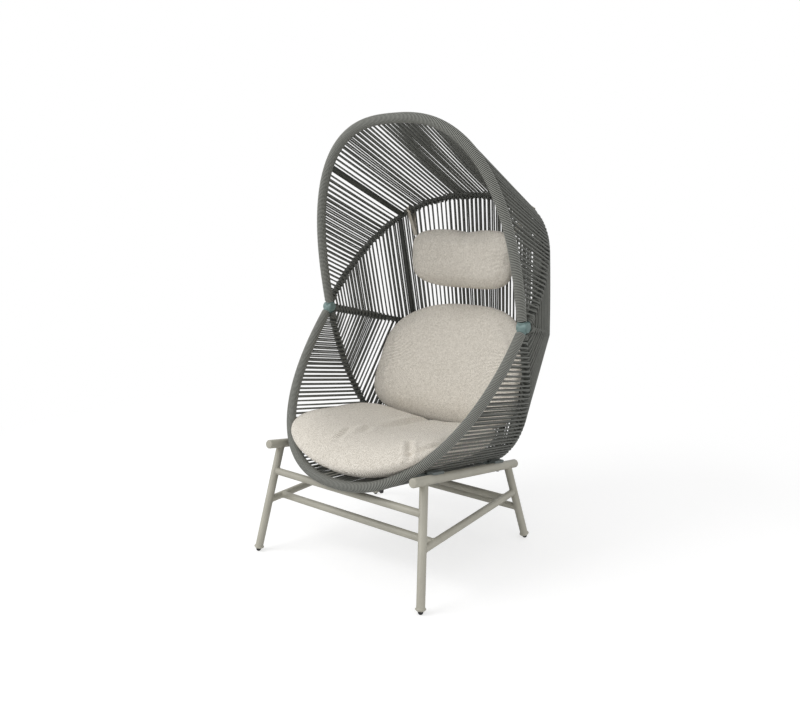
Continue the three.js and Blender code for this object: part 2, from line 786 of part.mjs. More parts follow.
for (const [name, side] of Object.entries(sides)) {
  const share = side < 0 ? strap_share : 1 - strap_share;
  const hook = mid_arch.at(share);
  const [corner_across, corner_up] = pillow_outline(0)(strap_corner);
  const foot = pillow_middle(side * corner_across, corner_up);
  const down = foot.clone().sub(hook).normalize();
  const strip = new THREE.BoxGeometry(strap_width, strap_thickness, hook.distanceTo(foot));
  const facing = vec(0, -1, 0).addScaledVector(down, down.y).normalize();
  const frame = new THREE.Matrix4().makeBasis(facing.clone().cross(down), facing, down);
  frame.setPosition(along(hook, foot, 0.5));
  const ends = [grown(mid_arch), solid(pillow(fit_gap))];
  add(`${name}_pillow_strap`, coped(strip.applyMatrix4(frame), ends), webbing());
}

// The frame's origin: the middle of the footprint, on the floor

const bounds = new THREE.Box3().setFromObject(chair);
chair.position.y = -(bounds.min.y + bounds.max.y) / 2;

export default chair;
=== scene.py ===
# Pod chair: rope-bound hoops and loose cushions on a tube base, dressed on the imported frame.
# Metres, +Z up, the front faces -Y, the floor is at z = 0.
import math
import bpy
import numpy as np
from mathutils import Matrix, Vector


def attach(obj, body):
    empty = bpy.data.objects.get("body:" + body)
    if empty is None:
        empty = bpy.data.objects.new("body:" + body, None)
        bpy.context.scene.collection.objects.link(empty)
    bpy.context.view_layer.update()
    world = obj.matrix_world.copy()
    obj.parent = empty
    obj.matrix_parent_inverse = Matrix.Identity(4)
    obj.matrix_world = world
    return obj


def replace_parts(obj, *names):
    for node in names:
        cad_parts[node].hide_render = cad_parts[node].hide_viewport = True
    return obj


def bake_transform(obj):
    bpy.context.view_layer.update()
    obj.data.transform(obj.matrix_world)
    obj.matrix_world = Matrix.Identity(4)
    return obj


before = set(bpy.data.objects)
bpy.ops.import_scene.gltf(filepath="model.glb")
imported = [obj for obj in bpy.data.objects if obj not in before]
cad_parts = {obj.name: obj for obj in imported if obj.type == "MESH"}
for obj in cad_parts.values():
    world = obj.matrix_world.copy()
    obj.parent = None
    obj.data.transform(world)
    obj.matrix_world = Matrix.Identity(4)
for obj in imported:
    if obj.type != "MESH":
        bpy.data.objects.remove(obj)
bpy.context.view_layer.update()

RANDOM_SEED = 7

# Pod: every hoop springs from two knuckles on one axis across the chair
PIVOT_Y = 0.0170
PIVOT_Z = 0.7605
POD_HALF_WIDTH = 0.397
HUB_RADIUS = 0.017
HUB_HALF_LENGTH = 0.012
HUB_INNER_LENGTH = 0.0245
THIN_HOOP_START = 0.034
ARCH_WRAP_START = 0.0205
FRONT_WRAP_START = 0.0265

# Rope and tube
FRONT_CORE_RADIUS = 0.0115
WINDING_RADIUS = 0.0023
WINDING_PITCH = 0.0048
THIN_CORE_RADIUS = 0.0092
CORD_RADIUS = 0.0029
CORD_PITCH = 0.0168
THIN_LAYER_OFFSET = 0.0120
THICK_LAYER_OFFSET = 0.0112
PANEL_START = 0.043
WRAP_START = 0.0195
WRAP_PITCH = 0.0062
CORD_JITTER = 0.0007
CORD_SAG = 0.0016
CORD_DROOP = 0.6
LAYER_BEDDING = 0.0003
TURN_OVERLAP = 0.12
COIL_TAPER = 0.6
HOOP_SAMPLES, HOOP_STEPS, HOOP_SIDES = 2001, 160, 24
STEPS_PER_WINDING, STEPS_PER_WRAP, CORD_STEPS, TURN_STEPS = 16, 22, 7, 12
ROPE_SIDES = 8
RIB_RADIUS = 0.009
RIB_END_GAP = 0.008
RIB_ROOM = 0.004

# Base
RAIL_RADIUS = 0.014
LEG_RADIUS = 0.0127
BAR_RADIUS = 0.0115
WELD_RADIUS = 0.0016
WELD_STEPS = 40


# Camera, light and floor

def aim(obj, target):
    direction = Vector(target) - obj.location
    obj.rotation_euler = direction.to_track_quat("-Z", "Y").to_euler()


def link(obj):
    bpy.context.scene.collection.objects.link(obj)
    return obj


CAMERA_PLACE = (1.4283, -1.9812, 1.126)
CAMERA_AIM = (-0.0473, -0.0159, 0.6264)
CAMERA_LENS = 33.74
SENSOR_WIDTH = 36.0
WHITE = (1.0, 1.0, 1.0, 1.0)
WORLD_STRENGTH = 0.66
LAMP_AIM = (0.0, 0.0, 0.6)
KEY_PLACE, KEY_SIZE, KEY_WATTS = (-2.2, -3.0, 3.4), 2.6, 102.0
FILL_PLACE, FILL_SIZE, FILL_WATTS = (3.2, -0.9, 0.9), 2.4, 18.0
FLOOR_HALF_SIZE = 9.0
SHADOW_REACH, FADE_REACH = 1.3, 2.4
FLOOR_TONE, FLOOR_TONE_SEEN, FLOOR_LIFT_SEEN = 0.82, 0.5, 0.62
FAR_FLOOR_LIGHT = 0.6


def feed(tree, node, inputs):
    """Gives each input of a shader node a value or another node's output."""
    for key, value in inputs.items():
        if isinstance(value, bpy.types.NodeSocket):
            tree.links.new(value, node.inputs[key])
        else:
            node.inputs[key].default_value = value


def add_node(tree, kind, inputs=None, operation=None):
    node = tree.nodes.new("ShaderNode" + kind)
    if operation:
        node.operation = operation
    feed(tree, node, inputs or {})
    return node


def make_camera():
    data = bpy.data.cameras.new("camera")
    data.lens = CAMERA_LENS
    data.sensor_width = SENSOR_WIDTH
    camera = link(bpy.data.objects.new("camera", data))
    camera.location = CAMERA_PLACE
    aim(camera, CAMERA_AIM)
    bpy.context.scene.camera = camera


def make_lamp(name, location, size, watts):
    data = bpy.data.lights.new(name, "AREA")
    data.size = size
    data.energy = watts
    lamp = link(bpy.data.objects.new(name, data))
    lamp.location = location
    aim(lamp, LAMP_AIM)


def make_world():
    """Plain white to the camera, in mirrors and through glass, and a softer light on everything else."""
    world = bpy.data.worlds.new("studio")
    bpy.context.scene.world = world
    world.use_nodes = True
    tree = world.node_tree
    tree.nodes.clear()
    path = add_node(tree, "LightPath").outputs
    seen = add_node(tree, "Math", {0: path["Is Camera Ray"], 1: path["Is Glossy Ray"]}, "MAXIMUM")
    seen = add_node(tree, "Math", {0: seen.outputs[0], 1: path["Is Transmission Ray"]}, "MAXIMUM")
    light = add_node(tree, "Background", {"Color": WHITE, "Strength": WORLD_STRENGTH})
    white = add_node(tree, "Background", {"Color": WHITE, "Strength": 1.0})
    mix = add_node(tree, "MixShader", {0: seen.outputs[0], 1: light.outputs[0], 2: white.outputs[0]})
    add_node(tree, "OutputWorld", {"Surface": mix.outputs[0]})


def make_floor():
    """Takes the shadow near the chair and is plain white further off, and a little lighter to the camera."""
    data = bpy.data.meshes.new("floor")
    s = FLOOR_HALF_SIZE
    data.from_pydata([(-s, -s, 0), (s, -s, 0), (s, s, 0), (-s, s, 0)], [], [(0, 1, 2, 3)])
    floor = link(bpy.data.objects.new("floor", data))
    material = bpy.data.materials.new("floor")
    material.use_nodes = True
    tree = material.node_tree
    tree.nodes.clear()
    place = add_node(tree, "TexCoord").outputs["Object"]
    distance = add_node(tree, "VectorMath", {0: place}, "LENGTH").outputs["Value"]
    fade = add_node(tree, "MapRange", {"Value": distance, "From Min": SHADOW_REACH, "From Max": FADE_REACH})
    fade.interpolation_type = "SMOOTHSTEP"
    seen = add_node(tree, "LightPath").outputs["Is Camera Ray"]
    tone = add_node(tree, "MapRange", {"Value": seen, "To Min": FLOOR_TONE, "To Max": FLOOR_TONE_SEEN})
    diffuse = add_node(tree, "BsdfDiffuse", {"Color": tone.outputs[0]})
    lifted = add_node(tree, "Math", {0: seen, 1: FLOOR_LIFT_SEEN}, "MULTIPLY")
    lift = add_node(tree, "Emission", {"Strength": lifted.outputs[0]})
    near = add_node(tree, "AddShader", {0: diffuse.outputs[0], 1: lift.outputs[0]})
    far_light = add_node(tree, "MapRange", {"Value": seen, "To Min": FAR_FLOOR_LIGHT, "To Max": 1.0})
    far = add_node(tree, "Emission", {"Strength": far_light.outputs[0]})
    mix = add_node(tree, "MixShader", {0: fade.outputs[0], 1: near.outputs[0], 2: far.outputs[0]})
    add_node(tree, "OutputMaterial", {"Surface": mix.outputs[0]})
    data.materials.append(material)


bpy.context.scene.view_settings.view_transform = "Standard"
make_camera()
make_world()
make_lamp("key", KEY_PLACE, KEY_SIZE, KEY_WATTS)
make_lamp("fill", FILL_PLACE, FILL_SIZE, FILL_WATTS)
make_floor()


# Materials

def linear(red, green, blue):
    """A colour as screens write it, 0 to 255, as the linear one that the shader takes."""
    def one(value):
        value /= 255.0
        return value / 12.92 if value <= 0.04045 else ((value + 0.055) / 1.055) ** 2.4
    return (one(red), one(green), one(blue), 1.0)


class Finish:
    """A principled material whose nodes are added by name."""

    def __init__(self, name, roughness, metallic=0.0, sheen=0.0):
        self.material = bpy.data.materials.new(name)
        self.material.use_nodes = True
        self.tree = self.material.node_tree
        self.shader = self.tree.nodes["Principled BSDF"]
        self.give({"Roughness": roughness, "Metallic": metallic, "Sheen Weight": sheen})
        self.object_point = self.add("TexCoord").outputs["Object"]

    def give(self, inputs):
        feed(self.tree, self.shader, inputs)

    def add(self, kind, inputs=None, operation=None):
        return add_node(self.tree, kind, inputs, operation)

    def noise(self, scale, detail):
        node = self.add("TexNoise", {"Scale": scale, "Detail": detail, "Vector": self.object_point})
        return node.outputs["Fac"]

    def mixed(self, *layers):
        """The sum of some heights, each with its weight."""
        total = None
        for height, weight in layers:
            part = self.math("MULTIPLY", height, weight)
            total = part if total is None else self.math("ADD", total, part)
        return total

    def math(self, operation, *values):
        return self.add("Math", dict(enumerate(values)), operation).outputs[0]

    def parts_of(self, attribute_name):
        attribute = self.add("Attribute")
        attribute.attribute_name = attribute_name
        split = self.add("SeparateXYZ", {0: attribute.outputs["Vector"]})
        return split.outputs["X"], split.outputs["Y"]

    def wave(self, value, period):
        return self.math("SINE", self.math("MULTIPLY", value, 2 * math.pi / period))

    def strand_waves(self, around_count, lay_length):
        """Two crossing sines on a strand, whose attribute holds the share around it and the length along."""
        share, run = self.parts_of("strand")
        around = self.math("MULTIPLY", share, 2 * math.pi * around_count)
        length = self.math("MULTIPLY", run, 2 * math.pi / lay_length)
        left = self.math("SINE", self.math("ADD", around, length))
        right = self.math("SINE", self.math("SUBTRACT", around, length))
        return left, right

    def color(self, factor, *stops):
        """Colours the finish by a factor; each stop is a place and the colour there."""
        node = self.add("ValToRGB", {"Fac": factor})
        elements = node.color_ramp.elements
        elements[0].position, elements[1].position = stops[0][0], stops[-1][0]
        elements[0].color, elements[1].color = linear(*stops[0][1]), linear(*stops[-1][1])
        for position, color in stops[1:-1]:
            elements.new(position).color = linear(*color)
        self.give({"Base Color": node.outputs["Color"]})

    def roughness(self, factor, low, high):
        spread = self.add("MapRange", {"Value": factor, "To Min": low, "To Max": high})
        self.give({"Roughness": spread.outputs[0]})

    def bump(self, height, distance, strength):
        node = self.add("Bump", {"Height": height, "Distance": distance, "Strength": strength})
        self.give({"Normal": node.outputs["Normal"]})


def coated_metal(name, dark, light, roughness, metallic=0.0, grain=900.0):
    """Powder coat or paint on metal: a fine orange-peel grain and a faint cloudiness."""
    finish = Finish(name, roughness, metallic)
    clouds = finish.noise(14.0, detail=3.0)
    finish.color(clouds, (0.3, dark), (0.7, light))
    peel = finish.noise(grain, detail=2.0)
    finish.roughness(peel, roughness - 0.07, roughness + 0.07)
    finish.bump(peel, distance=0.00025, strength=0.5)
    return finish.material


def braided_rope(name, dark, light, around_count, lay_length):
    """Braided synthetic rope: crossing strands, with painted shade between them and a mottle of single fibres.
    """
    finish = Finish(name, roughness=0.72, sheen=0.08)
    left, right = finish.strand_waves(around_count, lay_length)
    # the braid darkens the colour between the strands: painted shade; it also drives the bump
    braid = finish.math("MULTIPLY", left, right)
    height = finish.math("ADD", finish.math("MULTIPLY", braid, 0.5), 0.5)
    fibre = finish.noise(1600.0, detail=3.0)
    tone = finish.mixed((height, 0.55), (fibre, 0.45))
    finish.color(tone, (0.2, dark), (0.75, light))
    finish.bump(tone, distance=0.0006, strength=0.7)
    return finish.material


def wound_rope(name, groove_shade, dark, light):
    """Rope laid turn beside turn, with painted light on each crown and painted shade towards the groove beside
    it.
    """
    finish = Finish(name, roughness=0.7, sheen=0.08)
    share, _ = finish.parts_of("strand")
    fibre = finish.noise(1500.0, detail=3.0)
    tone = finish.math("ADD", share, finish.math("MULTIPLY", fibre, 0.16))
    # the ramp over the share round each turn is painted shade in the grooves and painted light on the crowns
    finish.color(tone, (0.68, groove_shade), (0.87, dark), (1.0, light))
    finish.bump(fibre, distance=0.0005, strength=0.6)
    return finish.material


def melange_weave(name, dark, middle, light, thread):
    """Two-tone woven cloth: a diagonal lattice of threads along the cloth, broken by flecks and slubs."""
    finish = Finish(name, roughness=0.92, sheen=0.12)
    across, along = finish.parts_of("weave")
    twill = finish.wave(finish.math("ADD", across, along), thread)
    weft = finish.wave(finish.math("SUBTRACT", across, along), thread)
    lattice = finish.math("MULTIPLY", twill, weft)
    fleck = finish.noise(400.0, detail=3.0)
    slub = finish.noise(110.0, detail=2.0)
    raised = finish.math("ADD", finish.math("MULTIPLY", lattice, 0.5), 0.5)
    tone = finish.mixed((raised, 0.36), (fleck, 0.54), (slub, 0.1))
    finish.color(tone, (0.42, dark), (0.5, middle), (0.58, light))
    finish.bump(tone, distance=0.0012, strength=0.5)
    finish.give({"Sheen Roughness": 0.5})
    return finish.material


def moulded_plastic(name, dark, light):
    finish = Finish(name, roughness=0.45)
    spark = finish.noise(1200.0, detail=2.0)
    finish.color(spark, (0.3, dark), (0.7, light))
    finish.bump(spark, distance=0.0002, strength=0.35)
    return finish.material


def plated_steel(name, dark, light):
    finish = Finish(name, roughness=0.32, metallic=0.9)
    blush = finish.noise(120.0, detail=4.0)
    finish.color(blush, (0.3, dark), (0.7, light))
    finish.roughness(blush, 0.25, 0.45)
    finish.bump(finish.noise(1500.0, detail=1.0), distance=0.0001, strength=0.3)
    return finish.material


POWDER_COAT = coated_metal("powder_coat", (164, 161, 149), (177, 174, 161), roughness=0.5)
DARK_COAT = coated_metal("dark_coat", (58, 60, 56), (72, 74, 69), roughness=0.5)
CASTING = coated_metal("casting", (98, 119, 117), (117, 138, 135), roughness=0.45, metallic=0.1, grain=500.0)
# a darker, greyer copy of the casting coat for the brackets: painted shade under the seat
SHADED_CASTING_COAT = coated_metal("shaded_bracket_coat", (84, 91, 90), (102, 109, 107), roughness=0.5)
ROPE = braided_rope("rope", (66, 68, 64), (124, 125, 119), around_count=4.0, lay_length=0.0042)
# the winding's first colour is painted shade for its grooves, its last colour painted light for its crowns
WINDING = wound_rope("winding", (36, 37, 34), (98, 99, 94), (153, 154, 147))
UPHOLSTERY = melange_weave("upholstery", (170, 162, 149), (218, 211, 198), (247, 242, 233), thread=0.0056)
WEBBING = melange_weave("webbing", (172, 164, 150), (205, 198, 184), (226, 219, 206), thread=0.003)
BLACK_PLASTIC = moulded_plastic("black_plastic", (18, 18, 19), (34, 34, 35))
ZINC = plated_steel("zinc", (140, 142, 142), (176, 178, 178))


# Meshes from numbers

ROUNDING_STEPS = 4
X_AXIS = np.array([1.0, 0.0, 0.0])
Y_AXIS = np.array([0.0, 1.0, 0.0])
Z_AXIS = np.array([0.0, 0.0, 1.0])


def unit(vectors):
    return vectors / np.linalg.norm(vectors, axis=-1, keepdims=True)


class Mesh:
    """Corners and faces that are gathered before one Blender object is made of them."""

    def __init__(self):
        self.points = []
        self.faces = []
        self.strand = []
        self.count = 0

    def add(self, points, faces, strand=None):
        self.faces += [tuple(corner + self.count for corner in face) for face in faces]
        self.points.append(points)
        self.strand.append(np.zeros((len(points), 3)) if strand is None else strand)
        self.count += len(points)

    def build(self, name, material, body, slot, smooth=True):
        data = bpy.data.meshes.new(name)
        points = np.concatenate(self.points)
        data.from_pydata(points.tolist(), [], self.faces)
        attribute = data.attributes.new("strand", "FLOAT_VECTOR", "POINT")
        attribute.data.foreach_set("vector", np.concatenate(self.strand).astype(np.float32).ravel())
        data.polygons.foreach_set("use_smooth", [smooth] * len(data.polygons))
        data.materials.append(material)
        obj = link(bpy.data.objects.new(name, data))
        return dress(obj, body)


def dress(obj, body):
    """Hangs a piece on its body's empty; a piece without a body stays where it is."""
    if body:
        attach(obj, body)
    return obj


def tube(mesh, path, up, radius, sides, closed=False):
    """Sweeps a ring along a path. up gives at each point the way that the ring's first corner looks."""
    count = len(path)
    if closed:
        ahead = unit(np.roll(path, -1, axis=0) - np.roll(path, 1, axis=0))
    else:
        ahead = unit(np.gradient(path, axis=0))
    aside = unit(np.cross(ahead, np.broadcast_to(up, path.shape)))
    over = np.cross(aside, ahead)
    angle = 2 * np.pi * np.arange(sides) / sides
    reach = np.broadcast_to(radius, (count,))[:, None, None]
    ring = np.cos(angle)[None, :, None] * over[:, None, :] + np.sin(angle)[None, :, None] * aside[:, None, :]
    points = path[:, None, :] + reach * ring
    steps = np.linalg.norm(np.diff(path, axis=0), axis=1)
    length = np.concatenate([[0.0], np.cumsum(steps)])
    strand = np.zeros((count, sides, 3))
    strand[:, :, 0] = np.abs(2 * np.arange(sides) / sides - 1)[None, :]
    strand[:, :, 1] = length[:, None]
    rows = np.arange(count if closed else count - 1)
    columns = np.arange(sides)
    here, there = rows[:, None] * sides, ((rows + 1) % count)[:, None] * sides
    beside = (columns + 1) % sides
    quads = np.stack([here + columns, here + beside, there + beside, there + columns], axis=-1)
    faces = [tuple(face) for face in quads.reshape(-1, 4).tolist()]
    if not closed:
        faces.append(tuple(range(sides - 1, -1, -1)))
        faces.append(tuple(range((count - 1) * sides, count * sides)))
    mesh.add(points.reshape(-1, 3), faces, strand.reshape(-1, 3))


def lathe(mesh, profile, start, direction, sides):
    """Turns (radius, height) pairs about the line from start; a radius of zero closes an end."""
    direction = unit(np.asarray(direction, float))
    helper = X_AXIS if abs(direction[0]) < 0.9 else Y_AXIS
    first = unit(np.cross(direction, helper))
    second = np.cross(direction, first)
    angle = 2 * np.pi * np.arange(sides) / sides
    spokes = np.cos(angle)[:, None] * first + np.sin(angle)[:, None] * second
    rings = []
    points = []
    faces = []
    count = 0
    for radius, height in profile:
        centre = np.asarray(start) + height * direction
        if radius == 0:
            rings.append([count])
            points.append(centre[None, :])
        else:
            rings.append(list(range(count, count + sides)))
            points.append(centre + radius * spokes)
        count += len(rings[-1])
    for low, high in zip(rings, rings[1:]):
        for i in range(sides):
            j = (i + 1) % sides
            if len(low) == 1:
                faces.append((low[0], high[j], high[i]))
            elif len(high) == 1:
                faces.append((low[i], low[j], high[0]))
            else:
                faces.append((low[i], low[j], high[j], high[i]))
    mesh.add(np.concatenate(points), faces)


def rounded(radius, length, edge):
    """The profile of a bar whose two ends are rounded off by edge."""
    angles = [math.pi / 2 * i / ROUNDING_STEPS for i in range(ROUNDING_STEPS + 1)]
    wall = radius - edge
    start = [(wall + edge * math.sin(angle), edge - edge * math.cos(angle)) for angle in angles]
    end = [(wall + edge * math.cos(angle), length - edge + edge * math.sin(angle)) for angle in angles]
    return [(0, 0)] + start + end + [(0, length)]


def bar(mesh, start, end, radius, sides=32, edge=0.0006):
    start, end = np.asarray(start), np.asarray(end)
    length = float(np.linalg.norm(end - start))
    lathe(mesh, rounded(radius, length, edge), start, end - start, sides)


# Hoops

class Hoop:
    """Half of a superellipse between the knuckles, in a plane that leans forward by an angle."""

    def __init__(self, lean, half_width, reach, squareness):
        lean = math.radians(lean)
        angle = np.linspace(0, np.pi, HOOP_SAMPLES)
        power = 2 / squareness
        across = -half_width * np.sign(np.cos(angle)) * np.abs(np.cos(angle)) ** power
        out = reach * np.abs(np.sin(angle)) ** power
        y, z = PIVOT_Y - out * math.sin(lean), PIVOT_Z + out * math.cos(lean)
        self.points = np.stack([across, y, z], axis=1)
        steps = np.linalg.norm(np.diff(self.points, axis=0), axis=1)
        self.lengths = np.concatenate([[0.0], np.cumsum(steps)])
        self.total = float(self.lengths[-1])
        self.plane_normal = np.array([0.0, -math.cos(lean), -math.sin(lean)])

    def at(self, share):
        length = np.asarray(share) * self.total
        return np.stack([np.interp(length, self.lengths, self.points[:, k]) for k in range(3)], axis=-1)

    def heading(self, share):
        small = 0.003
        share = np.asarray(share)
        return unit(self.at(np.minimum(share + small, 1)) - self.at(np.maximum(share - small, 0)))

    def outward(self, share):
        return np.cross(self.plane_normal, self.heading(share))

    def span(self, start_length, count):
        return np.linspace(start_length / self.total, 1 - start_length / self.total, count)


# Each hoop's lean in degrees, half width, reach and squareness
ARCH = Hoop(12.1, POD_HALF_WIDTH - 0.010, 0.630, 2.58)
FRONT_HOOP = Hoop(137.6, POD_HALF_WIDTH - 0.006, 0.619, 2.29)
MID_ARCH = Hoop(-41.5, POD_HALF_WIDTH + 0.004, 0.525, 2.45)
WAIST = Hoop(-104.2, POD_HALF_WIDTH, 0.415, 2.44)
SEAT_HOOP = Hoop(-163.7, POD_HALF_WIDTH - 0.010, 0.555, 2.65)
THICK = (ARCH, FRONT_HOOP)


def hoop_tube(name, hoop, radius, start):
    mesh = Mesh()
    shares = hoop.span(start, HOOP_STEPS)
    tube(mesh, hoop.at(shares), hoop.plane_normal, radius, HOOP_SIDES)
    return mesh.build(name, DARK_COAT, "frame", "hoop_steel")


def wound_hoop(name, hoop, start):
    """A front tube with its rope wound on turn beside turn from knuckle to knuckle."""
    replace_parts(hoop_tube(name + "_tube", hoop, FRONT_CORE_RADIUS, HUB_RADIUS), name + "_core")
    shares = hoop.span(start, int((hoop.total - 2 * start) / WINDING_PITCH * STEPS_PER_WINDING))
    turn = 2 * np.pi * shares * hoop.total / WINDING_PITCH
    radial = np.cos(turn)[:, None] * hoop.outward(shares) + np.sin(turn)[:, None] * hoop.plane_normal
    path = hoop.at(shares) + (FRONT_CORE_RADIUS + WINDING_RADIUS - LAYER_BEDDING) * radial
    mesh = Mesh()
    tube(mesh, path, radial, WINDING_RADIUS, ROPE_SIDES)
    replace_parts(mesh.build(name + "_rope", WINDING, "frame", "rope"), name + "_winding")


wound_hoop("arch", ARCH, ARCH_WRAP_START)
wound_hoop("front_hoop", FRONT_HOOP, FRONT_WRAP_START)


# Cord panels: one rope goes to and fro between two hoops, out on the outer side and back on the inner one,
# with a half turn round every thin hoop that it comes to

# The two hoops of each bay, and the share of the way round at which its left rib stands
BAYS = {
    "canopy": (ARCH, MID_ARCH, 0.305),
    "upper_back": (MID_ARCH, WAIST, 0.295),
    "lower_back": (WAIST, SEAT_HOOP, 0.295),
    "seat": (SEAT_HOOP, FRONT_HOOP, 0.345),
}
random = np.random.default_rng(RANDOM_SEED)


class Cord:
    """A straight run between two hoops, on the outer side (1) or the inner side (-1) of the panel."""

    def __init__(self, hoops, share, side):
        self.hoops = hoops
        self.share = share
        self.side = side
        start, end = hoops[0].at(share), hoops[1].at(share)
        self.ahead = unit(end - start)
        self.normal = unit(np.cross(hoops[0].heading(share) + hoops[1].heading(share), self.ahead))
        lifts = [THICK_LAYER_OFFSET if hoop in THICK else THIN_LAYER_OFFSET for hoop in hoops]
        self.start = start + side * lifts[0] * self.normal
        self.end = end + side * lifts[1] * self.normal

    def draw(self, mesh, slack):
        way = np.linspace(0, 1, CORD_STEPS)[:, None]
        bow = slack * 4 * way * (1 - way) * (self.normal * self.side + np.array([0.0, 0.0, -CORD_DROOP]))
        path = self.start + (self.end - self.start) * way + bow
        tube(mesh, path, self.hoops[0].heading(self.share), CORD_RADIUS, ROPE_SIDES)


def half_turn(mesh, first, second, hoop_index):
    """Takes one cord over to the next round the far side of a thin hoop."""
    hoop = first.hoops[hoop_index]
    away = unit(first.ahead + second.ahead) * (1 if hoop_index else -1)
    turn = np.linspace(-TURN_OVERLAP, np.pi + TURN_OVERLAP, TURN_STEPS)
    way = np.clip(turn / np.pi, 0, 1)
    shares = first.share + (second.share - first.share) * way
    normal = unit(first.normal + (second.normal - first.normal) * way[:, None])
    radial = first.side * np.cos(turn)[:, None] * normal + np.sin(turn)[:, None] * away
    path = hoop.at(shares) + THIN_LAYER_OFFSET * radial
    tube(mesh, path, hoop.heading(shares), CORD_RADIUS, ROPE_SIDES)


def end_wraps(mesh, hoop):
    """Close turns between a knuckle and the first cord, drawn in where the hoops come together."""
    turns = (PANEL_START - WRAP_START) / WRAP_PITCH
    angle = np.linspace(0, 2 * np.pi * turns, int(STEPS_PER_WRAP * turns))
    length = WRAP_START + WRAP_PITCH * angle / (2 * np.pi)
    coil = np.minimum(THIN_LAYER_OFFSET, COIL_TAPER * length - CORD_RADIUS)
    for near in (length / hoop.total, 1 - length / hoop.total):
        radial = np.cos(angle)[:, None] * hoop.outward(near) + np.sin(angle)[:, None] * hoop.plane_normal
        tube(mesh, hoop.at(near) + coil[:, None] * radial, radial, CORD_RADIUS, ROPE_SIDES)


bindings = {MID_ARCH: Mesh(), WAIST: Mesh(), SEAT_HOOP: Mesh()}


def panel(name, part, from_share, to_share, first_side):
    hoops = BAYS[name][:2]
    length = 0.5 * (hoops[0].total + hoops[1].total)
    steps = 2 * max(2, int(round((to_share - from_share) * length / CORD_PITCH)))
    cords = []
    for i in range(steps + 1):
        share = from_share + (to_share - from_share) * i / steps + random.normal(0, CORD_JITTER) / length
        cords.append(Cord(hoops, share, first_side if i % 2 == 0 else -first_side))
    mesh = Mesh()
    for cord in cords:
        cord.draw(mesh, random.uniform(0.0, CORD_SAG))
    for i, (first, second) in enumerate(zip(cords, cords[1:])):
        hoop_index = (i + 1) % 2
        if hoops[hoop_index] in bindings:
            half_turn(bindings[hoops[hoop_index]], first, second, hoop_index)
    piece = mesh.build(f"{name}_ropes_{part}", ROPE, "frame", "rope")
    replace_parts(piece, f"{name}_cords_{part}")


for index, (name, (from_hoop, to_hoop, rib_share)) in enumerate(BAYS.items()):
    shorter = min(from_hoop.total, to_hoop.total)
    begin = PANEL_START / shorter
    room = (RIB_RADIUS + RIB_ROOM) / shorter
    first_side = 1 if index % 2 == 0 else -1
    panel(name, "left", begin, rib_share - room, first_side)
    panel(name, "middle", rib_share + room, 1 - rib_share - room, first_side)
    panel(name, "right", 1 - rib_share + room, 1 - begin, first_side)

for name, hoop in (("mid_arch", MID_ARCH), ("waist_hoop", WAIST), ("seat_hoop", SEAT_HOOP)):
    end_wraps(bindings[hoop], hoop)
    hoop_tube(name + "_tube", hoop, THIN_CORE_RADIUS, THIN_HOOP_START)
    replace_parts(bindings[hoop].build(name + "_bindings", ROPE, "frame", "rope"), name)


# Ribs between the hoops

def rib(name, side):
    from_hoop, to_hoop, share = BAYS[name]
    share = share if side == "left" else 1 - share
    start, end = from_hoop.at(share), to_hoop.at(share)
    ahead = unit(end - start)
    mesh = Mesh()
    bar(mesh, start + RIB_END_GAP * ahead, end - RIB_END_GAP * ahead, RIB_RADIUS, sides=28)
    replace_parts(mesh.build(f"{name}_strut_{side}", DARK_COAT, "frame", "hoop_steel"), f"{name}_rib_{side}")


for name in BAYS:
    for side in ("left", "right"):
        rib(name, side)


# Castings: blocks and bosses grown together as one smooth body

def block(mesh, middle, axes, sizes):
    corners = np.array([[x, y, z] for x in (-1, 1) for y in (-1, 1) for z in (-1, 1)]) / 2
    points = np.asarray(middle) + (corners * np.asarray(sizes)) @ np.asarray(axes)
    faces = [(0, 1, 3, 2), (4, 6, 7, 5), (0, 4, 5, 1), (2, 3, 7, 6), (0, 2, 6, 4), (1, 5, 7, 3)]
    mesh.add(points, faces)


def apply_modifiers(obj):
    depsgraph = bpy.context.evaluated_depsgraph_get()
    data = bpy.data.meshes.new_from_object(obj.evaluated_get(depsgraph))
    old = obj.data
    obj.modifiers.clear()
    obj.data = data
    bpy.data.meshes.remove(old)


def grow_together(obj, voxel, smoothing):
    remesh = obj.modifiers.new("remesh", "REMESH")
    remesh.mode = "VOXEL"
    remesh.voxel_size = voxel
    remesh.use_smooth_shade = True
    smooth = obj.modifiers.new("smooth", "SMOOTH")
    smooth.factor = 0.5
    smooth.iterations = smoothing
    apply_modifiers(obj)


HUB_ROUNDING = 0.005
SOCKET_RADIUS = 0.0142
SOCKET_SHORTNESS = 0.002
SPIGOT_RADIUS = 0.0072
SPIGOT_ROUNDING = 0.001
KNUCKLE_VOXEL = 0.0012


